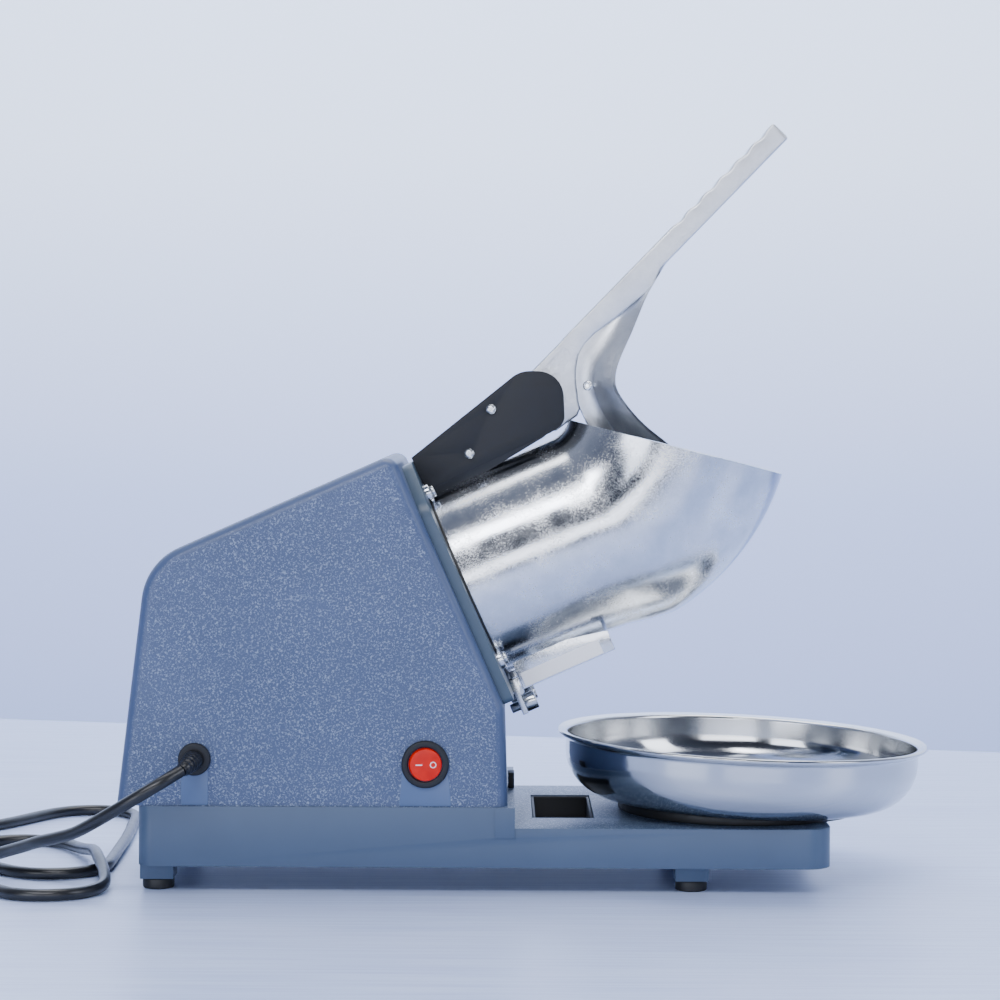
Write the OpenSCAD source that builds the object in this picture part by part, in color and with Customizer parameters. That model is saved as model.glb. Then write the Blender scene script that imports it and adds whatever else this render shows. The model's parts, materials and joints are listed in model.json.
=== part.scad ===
// Shaved ice machine: a motor turns a bladed disc behind an inclined cast hopper, a hand lever
// swings a pusher through the hopper, and the ice falls into a dish that stands on the base.
// X runs from the back of the housing to the dish, Y to the far side, Z up. The origin is on the
// floor, in the middle of the machine's box.

/* [Overall] */
// Length from the back of the housing to the lip of the dish
total_len = 521; // [515:1:530]
// Angle of the motor and of the ice tube above the horizontal
tilt = 24; // [23:0.5:25]

/* [Base] */
// Width of the moulded base
base_w = 188; // [186:1:192]
// Length of the moulded base
base_len = 437.5; // [434:0.5:440]
// Height of the front deck above the floor
deck_z = 42; // [41:0.5:43]
// Height of the raised rim that the housing stands on
rim_z = 55; // [54:0.5:56]
// Height of the rubber feet
foot_h = 7; // [6:0.5:8]

/* [Housing] */
// Width of the housing
housing_w = 184; // [182:1:185]
// Wall of the moulded housing and base
wall = 3; // [2.5:0.25:3.5]
// Thickness of the flange plate in front of the housing
flange_t = 7; // [6.5:0.5:7.5]

/* [Ice path] */
// Outer radius of the cast tube
tube_r = 65; // [64:0.5:66]
// Wall of the casting
cast_t = 4; // [3.5:0.25:4.5]
// Length of the straight tube before the elbow
tube_len = 89; // [88:1:90]
// Radius of the blade disc
disc_r = 59; // [58:0.5:59.5]

/* [Lever] */
// Angle that the handle stands at
handle_angle = 46; // [45:0.5:47]
// Half the width of the lever's web
web_half = 12; // [11:0.5:12]
// Half the width of the handle
grip_half = 17; // [15:0.5:18]
// Radius of the pivot pin
pin_r = 4; // [3.5:0.25:4.25]

/* [Dish] */
// Diameter of the dish over its lip
dish_d = 245; // [243:1:246]
// Height of the dish
dish_h = 43; // [41:1:45]
// Lean of the dish, its back edge up
dish_lean = 2.2; // [2:0.1:2.4]

/* [Cord] */
// Diameter of the power cord
cord_d = 7.8; // [7:0.2:7.8]

/* [Hidden] */
$fn = 64;
x_back = -total_len / 2;
base_back = x_back + 12;
base_front = base_back + base_len;
step_x = base_back + 237.5;
skirt_z = 17;
flange_x = x_back + 217.5;
flange_z = 191;
motor_r = 50;
elbow_bend = 52;
elbow_r = 83;
mouth_half = 68;
dish_x = total_len / 2 - dish_d / 2;
dish_z = deck_z + 5.2;
foot_x = [base_back + 11, base_back + 350];
foot_y = 72;
foot_r = 10;
leg_w = 22;
well_x = base_back + 249;
well_l = 40;
well_w = 100;
switch_at = [flange_x - 24.5, 82];
gland_at = [x_back + 48, 84.5];
side_y = housing_w / 2;
screw_x = [x_back + 46, flange_x - 2];
screw_y = side_y - 7.5;
clear = 0.05;

body_col = "#6A7D9A";
base_col = "#5C7090";
flange_col = "#4F6475";
cast_col = "#C9CDD2";
steel_col = "#B9BDC2";
black_col = "#23262E";
dark_col = "#3A3D42";
red_col = "#E03010";

// ---- points and frames ----------------------------------------------------------------------

// A point on the ice axis: u downwards from it, w forwards along it, measured from the flange
function ax(u, w) = [flange_x + w * cos(tilt) + u * sin(tilt), flange_z + w * sin(tilt) - u * cos(tilt)];
function unit(v) = v / norm(v);
function at_y(p, y) = [p[0], y, p[1]];

// The elbow bends about this point, and the lever turns about the pivot just behind it
elbow_c = ax(-elbow_r, tube_len);
pivot = elbow_c + [-1.5, 3];

// An arc of radius r in place of the corner b between a and c
function corner_arc(a, b, c, r, n = 8) = let(
    u = unit(a - b), v = unit(c - b),
    half = acos(u * v) / 2,
    mid = b + unit(u + v) * r / sin(half),
    p = b + u * r / tan(half) - mid,
    q = b + v * r / tan(half) - mid,
    a0 = atan2(p[1], p[0]),
    turn = (atan2(q[1], q[0]) - a0 + 540) % 360 - 180)
    [for (i = [0:n]) mid + r * [cos(a0 + turn * i / n), sin(a0 + turn * i / n)]];

// A closed outline with each corner rounded by its own radius
function rounded(pts, radii) = let(n = len(pts))
    [for (i = [0:n - 1]) each radii[i] > 0
        ? corner_arc(pts[(i + n - 1) % n], pts[i], pts[(i + 1) % n], radii[i]) : [pts[i]]];

// Children with +Z forwards along the ice axis, +X down across it, from the middle of the flange
module on_axis(w = 0) {
    translate([flange_x, 0, flange_z]) rotate([0, 90 - tilt, 0]) translate([0, 0, w]) children();
}

// A rod or a tube along +Z
module pipe(r, h, bore = 0) {
    difference() {
        cylinder(r = r, h = h);
        if (bore > 0) translate([0, 0, -1]) cylinder(r = bore, h = h + 2);
    }
}

// An outline in X and Z, extruded from y to y + t
module slab(pts, y, t) {
    translate([0, y + t, 0]) rotate([90, 0, 0]) linear_extrude(t) polygon(pts);
}

// A rod along Y through a point in X and Z
module cross_rod(p, y, r, h) {
    translate([p[0], y, p[1]]) rotate([-90, 0, 0]) cylinder(r = r, h = h);
}

// A plan outline with round corners
module plan(x0, x1, w, r) {
    polygon(rounded([[x0, -w / 2], [x1, -w / 2], [x1, w / 2], [x0, w / 2]], [r, r, r, r]));
}

// A solid through a list of rings that all have the same number of points
module skin(rings) {
    n = len(rings[0]);
    m = len(rings);
    polyhedron([for (ring = rings) each ring], concat(
        [[for (j = [0:n - 1]) j]],
        [for (i = [0:m - 2], j = [0:n - 1])
            [i * n + j, (i + 1) * n + j, (i + 1) * n + (j + 1) % n, i * n + (j + 1) % n]],
        [[for (j = [n - 1:-1:0]) (m - 1) * n + j]]), convexity = 8);
}

// ---- base -----------------------------------------------------------------------------------

module base() color(base_col) {
    difference() {
        union() {
            translate([0, 0, skirt_z]) linear_extrude(deck_z - skirt_z)
                plan(base_back, base_front, base_w, 16);
            translate([0, 0, skirt_z]) linear_extrude(rim_z - skirt_z)
                plan(base_back, step_x, base_w, 10);
            // Corner pillars at the step
            for (s = [-1, 1]) translate([step_x - 12.5, s * (base_w / 2 - 10) - 11, deck_z - 6])
                cube([12.5, 22, rim_z - deck_z + 6]);
        }
        translate([0, 0, skirt_z - 1]) linear_extrude(deck_z - wall - skirt_z + 1)
            plan(base_back + wall, base_front - wall, base_w - 2 * wall, 13);
        translate([0, 0, skirt_z - 1]) linear_extrude(rim_z - wall - skirt_z + 1)
            plan(base_back + wall, step_x - wall, base_w - 2 * wall, 7);
        translate([well_x, -well_w / 2, deck_z - 5]) cube([well_l, well_w, 6]);
        for (x = screw_x, s = [-1, 1]) translate([x, s * screw_y, rim_z - wall - 1]) pipe(2.2, 6);
    }
    for (s = [-1, 1]) {
        leg(foot_x[0], s, rim_z - wall);
        leg(foot_x[1], s, deck_z - wall);
    }
}

module leg(x, s, top) {
    translate([x - leg_w / 2 + 0.5, s * foot_y - leg_w / 2, foot_h])
        cube([leg_w - 1, leg_w, top - foot_h]);
}

module foot(x, s) color(black_col) {
    translate([x, s * foot_y, 0]) difference() {
        pipe(foot_r, foot_h);
        translate([0, 0, -1]) pipe(3.5, 4);
    }
}
module foot_rear_left() foot(foot_x[0], -1);
module foot_rear_right() foot(foot_x[0], 1);
module foot_front_left() foot(foot_x[1], -1);
module foot_front_right() foot(foot_x[1], 1);

// Drip well hung in the hole of the deck
module drain_well() color(black_col) {
    gap = 0.2;
    depth = 17;
    translate([well_x + gap, -well_w / 2 + gap, deck_z - depth]) difference() {
        cube([well_l - 2 * gap, well_w - 2 * gap, depth - 1]);
        translate([2, 2, 2]) cube([well_l - 2 * gap - 4, well_w - 2 * gap - 4, depth]);
    }
}

// Rubber seat of the dish, its top leaning as the dish does
module dish_seat() color(black_col) {
    difference() {
        translate([dish_x, 0, deck_z]) pipe(80, 9, 62);
        dish_frame() translate([0, 0, 10]) cube([300, 300, 20], center = true);
    }
}

module front_tab() color(black_col) {
    translate([step_x - 4, -8, rim_z]) cube([4, 16, 10]);
}

// ---- housing --------------------------------------------------------------------------------

front_top = ax(-95, -flange_t);
front_low = ax(78, -flange_t);
housing_pts = [[x_back - 1.5, rim_z - 15], [x_back + 17.5, 206], front_top, front_low,
    [front_low[0] + 2.5, rim_z - 15]];

// The closed form of the housing, smaller by in all round, its long edges eased
module housing_form(in) {
    hull() for (k = [[0, 10], [3, 3], [10, 0]])
        translate([0, side_y - in - k[0], 0]) rotate([90, 0, 0])
            linear_extrude(2 * (side_y - in - k[0]))
            offset(delta = -in - k[1]) polygon(rounded(housing_pts, [0, 40, 8, 12, 0]));
}

module housing() color(body_col) {
    difference() {
        housing_form(0);
        housing_form(wall);
        translate([x_back - 10, -100, 0]) cube([total_len, 200, rim_z]);
        on_axis(-flange_t - 12) pipe(69.2, 20);
        cross_rod(switch_at, -side_y - 1, 12.1, 6);
        cross_rod(gland_at, -side_y - 1, 7.1, 6);
    }
    for (x = screw_x, s = [-1, 1]) translate([x, s * screw_y, rim_z]) pipe(6, 18, 1.9);
}

module housing_screws() color(steel_col) {
    for (x = screw_x, s = [-1, 1]) translate([x, s * screw_y, rim_z - wall]) {
        translate([0, 0, -3]) pipe(4, 3);
        pipe(1.9, 16);
    }
}

// Raised blank panel on the sloping top
module top_panel() color(body_col) {
    on_axis(-113) translate([-97.2, -35, 0]) cube([2, 70, 45]);
}

module flange_outline() {
    polygon(rounded([[-87, -52], [-58, -82], [76.5, -82], [76.5, 82], [-58, 82], [-87, 52]],
        [14, 20, 4, 4, 20, 14]));
}

// Lug places round the tube, as angles from straight down
lug_angles = [-155, 155, -43, 43];
lug_ring = tube_r + 6;
lug_h = 3.5;

module at_lugs() {
    for (a = lug_angles) rotate([0, 0, a]) translate([lug_ring, 0, 0]) children();
}

module flange_plate() color(flange_col) {
    on_axis(-flange_t) difference() {
        linear_extrude(flange_t) flange_outline();
        translate([0, 0, -1]) pipe(disc_r + 2, flange_t + 2);
        translate([disc_r - 6, -30, -1]) cube([16, 60, flange_t + 2]);
        translate([0, 0, -1]) at_lugs() pipe(2.5 + clear, flange_t + 2);
    }
}

module flange_screws() color(steel_col) {
    on_axis(-flange_t) at_lugs() {
        pipe(2.5, flange_t + lug_h);
        translate([0, 0, flange_t + lug_h]) pipe(4.2, 2.5);
    }
}

// Cup behind the flange in which the disc throws the shaved ice down to the slot
chamber_back = -38;
module blade_chamber() color(dark_col) {
    on_axis(chamber_back) difference() {
        pipe(69, -chamber_back - flange_t);
        translate([0, 0, 4]) pipe(65, 40);
        translate([0, 0, -1]) pipe(11 + clear, 8);
    }
}

// ---- hopper ---------------------------------------------------------------------------------

// One ring of the tube or elbow: its lean from the horizontal, how far back along the tube it
// lies, and how much smaller than the outside it is
function hopper_ring(lean, back, swell, in) = let(
    r_in = elbow_r - tube_r + in,
    r_out = elbow_r + tube_r + swell - in,
    half_y = tube_r + (mouth_half - tube_r) * max(0, lean - tilt) / elbow_bend - in,
    mid = (r_in + r_out) / 2,
    a = (r_out - r_in) / 2,
    c = elbow_c - back * [cos(tilt), sin(tilt)])
    [for (j = [0:39]) let(f = 360 * j / 40, r = mid + a * cos(f))
        [c[0] + r * sin(lean), half_y * sin(f), c[1] - r * cos(lean)]];

module hopper_form(in, over) {
    skin(concat(
        [hopper_ring(tilt, tube_len + over, 0, in), hopper_ring(tilt, tube_len / 2, 2, in)],
        [for (s = [0:0.1:1.001]) hopper_ring(tilt + elbow_bend * s, 0, 9 + 8 * s, in)],
        over > 0 ? [hopper_ring(tilt + elbow_bend + 8, 0, 18, in)] : []));
}

module hopper() color(cast_col) {
    difference() {
        union() {
            hopper_form(0, 0);
            on_axis() at_lugs() pipe(6.5, lug_h);
        }
        hopper_form(cast_t, 4);
        on_axis(12) translate([-120, -16, 0]) cube([75, 32, 140]);
        on_axis(-1) at_lugs() pipe(2.5 + clear, 8);
    }
}

// Open-bottomed guard under the tube that turns the ice down into the dish
guard_half = 36;
guard_low = 77;
guard_to = 72;
module chute_guard() color(cast_col) {
    on_axis() difference() {
        translate([50, -guard_half, 7]) cube([guard_low - 50, 2 * guard_half, guard_to - 7]);
        translate([0, -guard_half + 2.5, 0]) cube([90, 2 * guard_half - 5, guard_to - 2.5]);
        pipe(tube_r + 3.4, 50);
        // Room for the swell of the tube towards the elbow
        translate([0, 0, 45]) cylinder(r1 = tube_r + 3.4, r2 = tube_r + 11, h = 45);
    }
}

module guard_label() color("white") {
    on_axis() for (s = [-1, 1])
        translate([66.5, s * (guard_half + 0.2) - 0.2, 9]) cube([9.5, 0.4, 55]);
}

module adjuster_block() color(steel_col) {
    on_axis() for (s = [-1, 1]) translate([68.5, s * 28 - 6, 0]) difference() {
        union() {
            cube([11, 12, 6.5]);
            cube([24, 12, 3.8]);
        }
        translate([18, 6, -1]) pipe(3 + clear, 8);
    }
}

module adjuster_screws() color(steel_col) {
    on_axis() for (s = [-1, 1]) translate([86.5, s * 28, -6]) difference() {
        union() {
            pipe(3, 9.8);
            translate([0, 0, 9.8]) pipe(6, 8);
        }
        translate([0, 0, 13]) cylinder(r = 2.9, h = 6, $fn = 6);
    }
}

// ---- lever hinge ----------------------------------------------------------------------------

cover_r = 18;
cover_pts = [[pivot[0] - 85, 271], [pivot[0] - 12, 330], [pivot[0] + 16, 330],
    [pivot[0] + 17.5, 296], [pivot[0] + 8.5, 290], [pivot[0] - 71.5, 252]];
cover_screw_at = [[pivot[0] - 30.5, 305], [pivot[0] - 44.5, 276]];
cheek_y = 15.5;
cheek_t = 5.2;
cover_t = 4;

module cover(y) color(black_col) {
    difference() {
        slab(rounded(cover_pts, [2, 18, 17, 9, 7, 2]), y, cover_t);
        on_axis(-39.7) translate([-120, -50, 0]) cube([240, 100, 40]);
        for (p = cover_screw_at) cross_rod(p, y - 1, 2 + clear, cover_t + 2);
    }
}
module cover_left() cover(-cheek_y - cheek_t - cover_t);
module cover_right() cover(cheek_y + cheek_t);

module cover_screws() color(steel_col) {
    head_y = cheek_y + cheek_t + cover_t;
    for (p = cover_screw_at, s = [0, 1]) mirror([0, s, 0]) {
        cross_rod(p, -head_y, 2, cover_t + 4);
        cross_rod(p, -head_y - 2, 3.3, 2);
    }
}

bracket_pts = [[pivot[0] - 79, 268], [pivot[0] - 11, 326], [pivot[0] + 13, 326],
    [pivot[0] + 14, 297], [pivot[0] + 4, 287], [pivot[0] - 68, 243]];

// A point along the top edge of the cheeks and inwards from it
bridge_dir = unit(bracket_pts[1] - bracket_pts[0]);
function on_bridge(s, h) = bracket_pts[0] + s * bridge_dir + h * [bridge_dir[1], -bridge_dir[0]];

module hinge_bracket() color(dark_col) {
    difference() {
        union() {
            for (y = [-cheek_y - cheek_t, cheek_y])
                slab(rounded(bracket_pts, [2, 16, 12, 5, 5, 2]), y, cheek_t);
            // Bridge over the back of the two cheeks
            slab([on_bridge(5, 0.2), on_bridge(52, 0.2), on_bridge(52, 3), on_bridge(5, 3)],
                -cheek_y - 1, 2 * cheek_y + 2);
        }
        on_axis(-20) pipe(tube_r + clear, 170);
        on_axis(-40) translate([-120, -50, 0]) cube([240, 100, 40]);
        for (y = [-30, cheek_y - 1]) cross_rod(pivot, y, pin_r, 15);
        for (p = cover_screw_at, y = [-30, cheek_y - 1]) cross_rod(p, y, 2 + clear, 15);
    }
}

module pivot_pin() color(steel_col) {
    cross_rod(pivot, -cheek_y - cheek_t, pin_r, 2 * (cheek_y + cheek_t));
}

bush_r = pin_r + 3;
module bush(s) color("#B08D57") {
    translate([pivot[0], 0, pivot[1]]) rotate([s * 90, 0, 0]) difference() {
        union() {
            pipe(bush_r, web_half);
            translate([0, 0, web_half]) pipe(bush_r + 3, 2.5);
        }
        translate([0, 0, -1]) pipe(pin_r + clear, 20);
    }
}
module bush_left() bush(1);
module bush_right() bush(-1);

// ---- lever ----------------------------------------------------------------------------------

// The pusher's stations from the handle down: the free edge, the edge on the web, and half the
// width at the free edge, all from the pivot
stations = [
    [[82, 93], [74, 79], 17], [[71, 74], [54, 62], 20], [[61, 50], [36, 48], 25],
    [[53, 32], [28, 38], 30], [[50, 21], [25.5, 29], 34], [[51, 12], [25, 19], 38],
    [[58, 1], [26, 10], 43], [[69, -11], [28, 0], 48], [[85, -24], [37, -16], 51],
    [[101, -40], [57, -34], 50], [[115, -56], [82, -52], 44], [[124, -68], [108, -68], 30]];
web_edge = [for (i = [0:7]) stations[i][1]];

grip_top = 20;
grip_t = 14;
grip_from = 118;
grip_to = 240;
scallops = 6;
scallop_pitch = 15;

// A point along the handle and above the line through the pivot
function on_grip(s, h) = [s * cos(handle_angle) - h * sin(handle_angle),
    s * sin(handle_angle) + h * cos(handle_angle)];
function from_pivot(pts) = [for (p = pts) pivot + p];

web_pts = concat(
    [on_grip(4, 15), on_grip(12, grip_top), on_grip(grip_from + 12, grip_top),
        on_grip(grip_from + 12, grip_top - grip_t), stations[0][0]],
    web_edge, [[26, -5], [12, -15], [-8, -13], [-15, -4]]);

module lever() color(cast_col) {
    difference() {
        union() {
            slab(from_pivot(web_pts), -web_half, 2 * web_half);
            cross_rod(pivot, -web_half, 15.5, 2 * web_half);
            slab(from_pivot([on_grip(40, grip_top), on_grip(grip_to, grip_top),
                on_grip(grip_to - 1, grip_top - grip_t), on_grip(grip_from, grip_top - grip_t),
                on_grip(60, grip_top - 4), on_grip(40, grip_top - 4)]), -grip_half, 2 * grip_half);
        }
        cross_rod(pivot, -30, bush_r, 60);
        // Finger scallops across the top of the grip
        for (i = [0:scallops - 1])
            let(p = pivot + on_grip(grip_to - 12 - i * scallop_pitch, grip_top + 16))
            cross_rod(p, -30, 18, 60);
        for (p = rivet_at) cross_rod(pivot + p, -30, 2, 60);
    }
}

rivet_at = [[19, 14]];

module pusher() color(cast_col) {
    skin([for (s = stations) let(o = pivot + s[0], i = pivot + s[1])
        [at_y(i, -web_half), at_y(o, -s[2]), at_y(o, s[2]), at_y(i, web_half)]]);
}

module pusher_rivets() color(steel_col) {
    for (p = rivet_at) {
        cross_rod(pivot + p, -web_half, 2, 2 * web_half);
        for (s = [0, 1]) mirror([0, s, 0]) cross_rod(pivot + p, -web_half - 1.2, 3, 1.2);
    }
}

// Safety switch between the cheeks
module microswitch() color(black_col) {
    on_axis(22) difference() {
        translate([-85, -8, 0]) cube([12, 16, 28]);
        translate([-79, 0, 20]) pipe(2 + clear, 9);
    }
}

module microswitch_button() color(red_col) {
    on_axis(22) translate([-79, 0, 24]) pipe(2, 8);
}

// ---- switch and cord entry ------------------------------------------------------------------

// Children with +Z out of the near side, round a point of the side
module on_side(p) {
    translate([p[0], -side_y, p[1]]) rotate([90, 0, 0]) children();
}

rocker_r = 10.6;
rocker_swing = 8;

module switch_bezel() color(black_col) {
    on_side(switch_at) difference() {
        union() {
            pipe(15, 3);
            translate([0, 0, -20]) pipe(12, 20);
        }
        translate([0, 0, -12]) pipe(rocker_r + 0.3, 20);
        rotate([90, 0, 0]) translate([0, 0.5, -13]) pipe(1.5 + clear, 26);
    }
}

module switch_rocker() color(red_col) {
    on_side(switch_at) translate([0, 0, 0.5]) rotate([0, rocker_swing, 0]) {
        intersection() {
            sphere(r = rocker_r);
            translate([-12, -12, -4]) cube([24, 24, 8]);
        }
        rotate([90, 0, 0]) translate([0, 0, -11.5]) pipe(1.5, 23);
    }
}

module cord_gland() color(black_col) {
    on_side(gland_at) difference() {
        union() {
            pipe(10.3, 3);
            translate([0, 0, -12]) pipe(7, 12);
            translate([0, 0, -6]) pipe(9.5, 2.9);
        }
        translate([0, 0, -13]) pipe(cord_d / 2, 30);
    }
}

// ---- cord -----------------------------------------------------------------------------------

relief_len = 24;
// Where the cord leaves its strain relief, then along the air, the floor and over itself
route = [
    [-218, -117, 80.5], [-230.5, -127.5, 73.5], [-245.5, -129.5, 64.5], [-260, -124, 55.5],
    [-273.5, -115.5, 47], [-286.5, -105, 39.5], [-299.5, -93.5, 34.5], [-312.5, -81.5, 30],
    [-324, -69, 25], [-336, -56, 20], [-349, -44.5, 15], [-362.5, -33.5, 11], [-378, -24.5, 7],
    [-393, -14.5, 4.5], [-407, -3, 4], [-418.5, 10.5, 4], [-426.5, 26.5, 4], [-430.5, 44.5, 4],
    [-429.5, 62.5, 4], [-424.5, 79.5, 4], [-417, 96, 4], [-407, 111.5, 4], [-396.5, 126, 4],
    [-385.5, 140.5, 4], [-375.5, 155.5, 4], [-367, 171.5, 4], [-359, 187.5, 4], [-349.5, 203, 4],
    [-336, 214.5, 4], [-318, 217.5, 4], [-301.5, 211, 4], [-290.5, 196.5, 4], [-287, 179, 4],
    [-285.5, 161, 4], [-284.5, 143, 4], [-283, 125, 4], [-282, 107, 4], [-281, 88.5, 4],
    [-280.5, 70.5, 4], [-280, 52.5, 4], [-279.5, 34.5, 4], [-279, 16.5, 4], [-278.5, -1.5, 4],
    [-279, -20, 4], [-285.5, -36.5, 4], [-299.5, -47.5, 4], [-317.5, -49.5, 4], [-334, -42.5, 4],
    [-347, -30, 4], [-359, -16.5, 4], [-370.5, -2.5, 4], [-379, 13.5, 4], [-384, 31, 4], [-384, 49, 4],
    [-378.5, 66, 4], [-365.5, 78, 4], [-348, 82, 4], [-331, 76, 4], [-318.5, 63.5, 4.5], [-309, 48, 5],
    [-301.5, 31.5, 6.5], [-295.5, 14.5, 9], [-290, -2.5, 11.5], [-285.5, -20, 13],
    [-281, -37.5, 12.5], [-276, -55, 10], [-272, -72.5, 7.5], [-270, -90, 5], [-275, -107.5, 4],
    [-287.5, -120, 4], [-304.5, -124.5, 4], [-321.5, -119.5, 4], [-334.5, -107, 4], [-348.5, -95.5, 4],
    [-364.5, -86.5, 4], [-382, -83, 4], [-400, -81.5, 4], [-418, -82, 4]];

function spline(a, b, c, d, t) = 0.5 * (2 * b + (c - a) * t + (2 * a - 5 * b + 4 * c - d) * t * t
    + (3 * b - a - 3 * c + d) * t * t * t);
function heading(path, i) = unit(path[min(len(path) - 1, i + 1)] - path[max(0, i - 1)]);
// A level ring of the cord square to its path
function cord_ring(path, i, r, n = 8) = let(
    h = heading(path, i), side = unit(cross([0, 0, 1], h)), up = cross(h, side))
    [for (j = [0:n - 1]) path[i] + r * (cos(360 * j / n) * side + sin(360 * j / n) * up)];

module cord() color(black_col) {
    skin([for (i = [0:len(route) - 1]) cord_ring(route, i, cord_d / 2)]);
}

// Tapered boot from the gland to the free cord
module strain_relief() color(black_col) {
    from = [gland_at[0], -side_y - 3, gland_at[1]];
    path = [for (t = [0:0.2:1.001]) spline(from + [2, 30, 0], from, route[0],
        route[0] + [-20, -16, -12], t)];
    skin([for (i = [0:len(path) - 1]) cord_ring(path, i, 6.4 - 0.5 * i, 16)]);
}

plug_at = route[len(route) - 1];
module plug() color(black_col) {
    translate(plug_at) rotate([0, -90, 0]) {
        translate([9.5, 0, 8]) hull() {
            translate([-13, -12, 14]) cube([22, 24, 12]);
            translate([-13, -8, 0]) cube([16, 16, 4]);
        }
        pipe(5.5, 9);
    }
}

module plug_pins() color("#C8A850") {
    translate(plug_at + [-34, 0, 4]) for (s = [-1, 1])
        translate([-17, s * 6.35 - 3.2, -0.8]) cube([17, 6.4, 1.6]);
}

// ---- motor and cutting disc -----------------------------------------------------------------

shaft_r = 6;
bearing_r = 16;
can_from = -150;
can_to = -50;

module motor_front_cap() color(steel_col) {
    on_axis(can_to) difference() {
        pipe(motor_r, chamber_back - can_to, shaft_r + 2);
        translate([0, 0, -1]) pipe(bearing_r, 9);
    }
}

module motor_can() color(steel_col) {
    on_axis(can_from) pipe(motor_r, can_to - can_from, motor_r - 3);
}

module motor_rear_cap() color(steel_col) {
    on_axis(can_from - 14) difference() {
        pipe(motor_r, 14, shaft_r + 1);
        translate([0, 0, 6]) pipe(bearing_r, 9);
    }
}

module bearing_front() color(steel_col) {
    on_axis(can_to) pipe(bearing_r, 8, shaft_r + clear);
}

module bearing_rear() color(steel_col) {
    on_axis(can_from - 8) pipe(bearing_r, 8, shaft_r + clear);
}

module stator() color("#8A4B2A") {
    on_axis(-125) pipe(motor_r - 3, 55, 29);
}

module rotor_core() color(dark_col) {
    on_axis(-123) pipe(28, 51, shaft_r);
}

module rotor_shaft() color(steel_col) {
    on_axis(-160) pipe(shaft_r, 148);
}

module fan() color(dark_col) {
    on_axis(-144) difference() {
        union() {
            pipe(10, 10);
            pipe(42, 2);
            for (a = [0:45:315]) rotate([0, 0, a]) translate([9, -1, 1]) cube([32, 2, 9]);
        }
        translate([0, 0, -1]) pipe(shaft_r, 14);
    }
}

module shaft_seal() color(black_col) {
    on_axis(chamber_back) pipe(11, 4, shaft_r + clear);
}

blade_half = 22;
module at_blades() {
    for (a = [0, 180]) rotate([0, 0, a + 20]) translate([0, 33, 0]) children();
}

module blade_disc() color(steel_col) {
    on_axis(-6) difference() {
        union() {
            pipe(disc_r, 5);
            translate([0, 0, -20]) pipe(11.5, 20);
        }
        translate([0, 0, -21]) pipe(shaft_r, 15);
        at_blades() {
            translate([-9, -blade_half, -1]) cube([7, 2 * blade_half, 8]);
            translate([-2, -blade_half, 3]) cube([16, 2 * blade_half, 4]);
            for (y = [-12, 12]) translate([8, y, -1]) pipe(2, 8);
        }
    }
}

module blades() color(steel_col) {
    on_axis(-3) at_blades() difference() {
        translate([-5, -blade_half + 0.2, 0]) cube([18.8, 2 * blade_half - 0.4, 2.4]);
        for (y = [-12, 12]) translate([8, y, -1]) pipe(2, 8);
    }
}

module blade_screws() color(dark_col) {
    on_axis(-6) at_blades() for (y = [-12, 12]) translate([8, y, 0]) {
        pipe(2, 5.4);
        translate([0, 0, 5.4]) pipe(3.5, 0.8);
    }
}

module motor_bracket() color(dark_col) {
    difference() {
        translate([flange_x - 125, -34, rim_z]) cube([70, 68, 75]);
        on_axis(-180) pipe(motor_r + clear, 160);
        translate([flange_x - 118, -40, rim_z + 3]) cube([56, 80, 26]);
        on_axis(-180) translate([-130, -60, 0]) cube([160, 120, 200]);
    }
}

// Rectifier for the motor, on the floor of the rim
module power_board() color("#2F5D3A") {
    translate([x_back + 55, 38, rim_z]) cube([60, 44, 2]);
    translate([x_back + 62, 46, rim_z + 2]) cube([28, 28, 16]);
}

// ---- dish -----------------------------------------------------------------------------------

// Children with the dish's own upright axis as +Z, from the middle of its bottom
module dish_frame() {
    translate([dish_x, 0, dish_z]) rotate([0, dish_lean, 0]) children();
}

module dish() color(steel_col) {
    lip_r = dish_d / 2;
    wall_r = lip_r - 6;
    t = 1.2;
    dish_frame() rotate_extrude($fn = 96) polygon(rounded(
        [[0, 0], [wall_r - 1, 0], [wall_r, dish_h - 5], [lip_r, dish_h - 2], [lip_r, dish_h],
            [wall_r - 1, dish_h - 2], [wall_r - 1 - t, t], [0, t]],
        [0, 30, 1, 0, 0, 2, 30 - t, 0]));
}

base();
foot_rear_left();
foot_rear_right();
foot_front_left();
foot_front_right();
drain_well();
dish_seat();
front_tab();
housing();
housing_screws();
top_panel();
flange_plate();
flange_screws();
blade_chamber();
hopper();
chute_guard();
guard_label();
adjuster_block();
adjuster_screws();
hinge_bracket();
cover_left();
cover_right();
cover_screws();
pivot_pin();
bush_left();
bush_right();
lever();
pusher();
pusher_rivets();
microswitch();
microswitch_button();
switch_bezel();
switch_rocker();
cord_gland();
strain_relief();
cord();
plug();
plug_pins();
motor_can();
motor_front_cap();
motor_rear_cap();
stator();
rotor_core();
rotor_shaft();
bearing_front();
bearing_rear();
fan();
shaft_seal();
blade_disc();
blades();
blade_screws();
motor_bracket();
power_board();
dish();
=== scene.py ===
"""Studio view of a shaved ice machine: sloped grained housing, polished cast hopper and lever,
steel dish, and the power cord looped on the table behind it."""

import json
from math import acos, atan2, cos, pi, radians, sin

import bpy
from mathutils import Matrix, Vector


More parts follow.
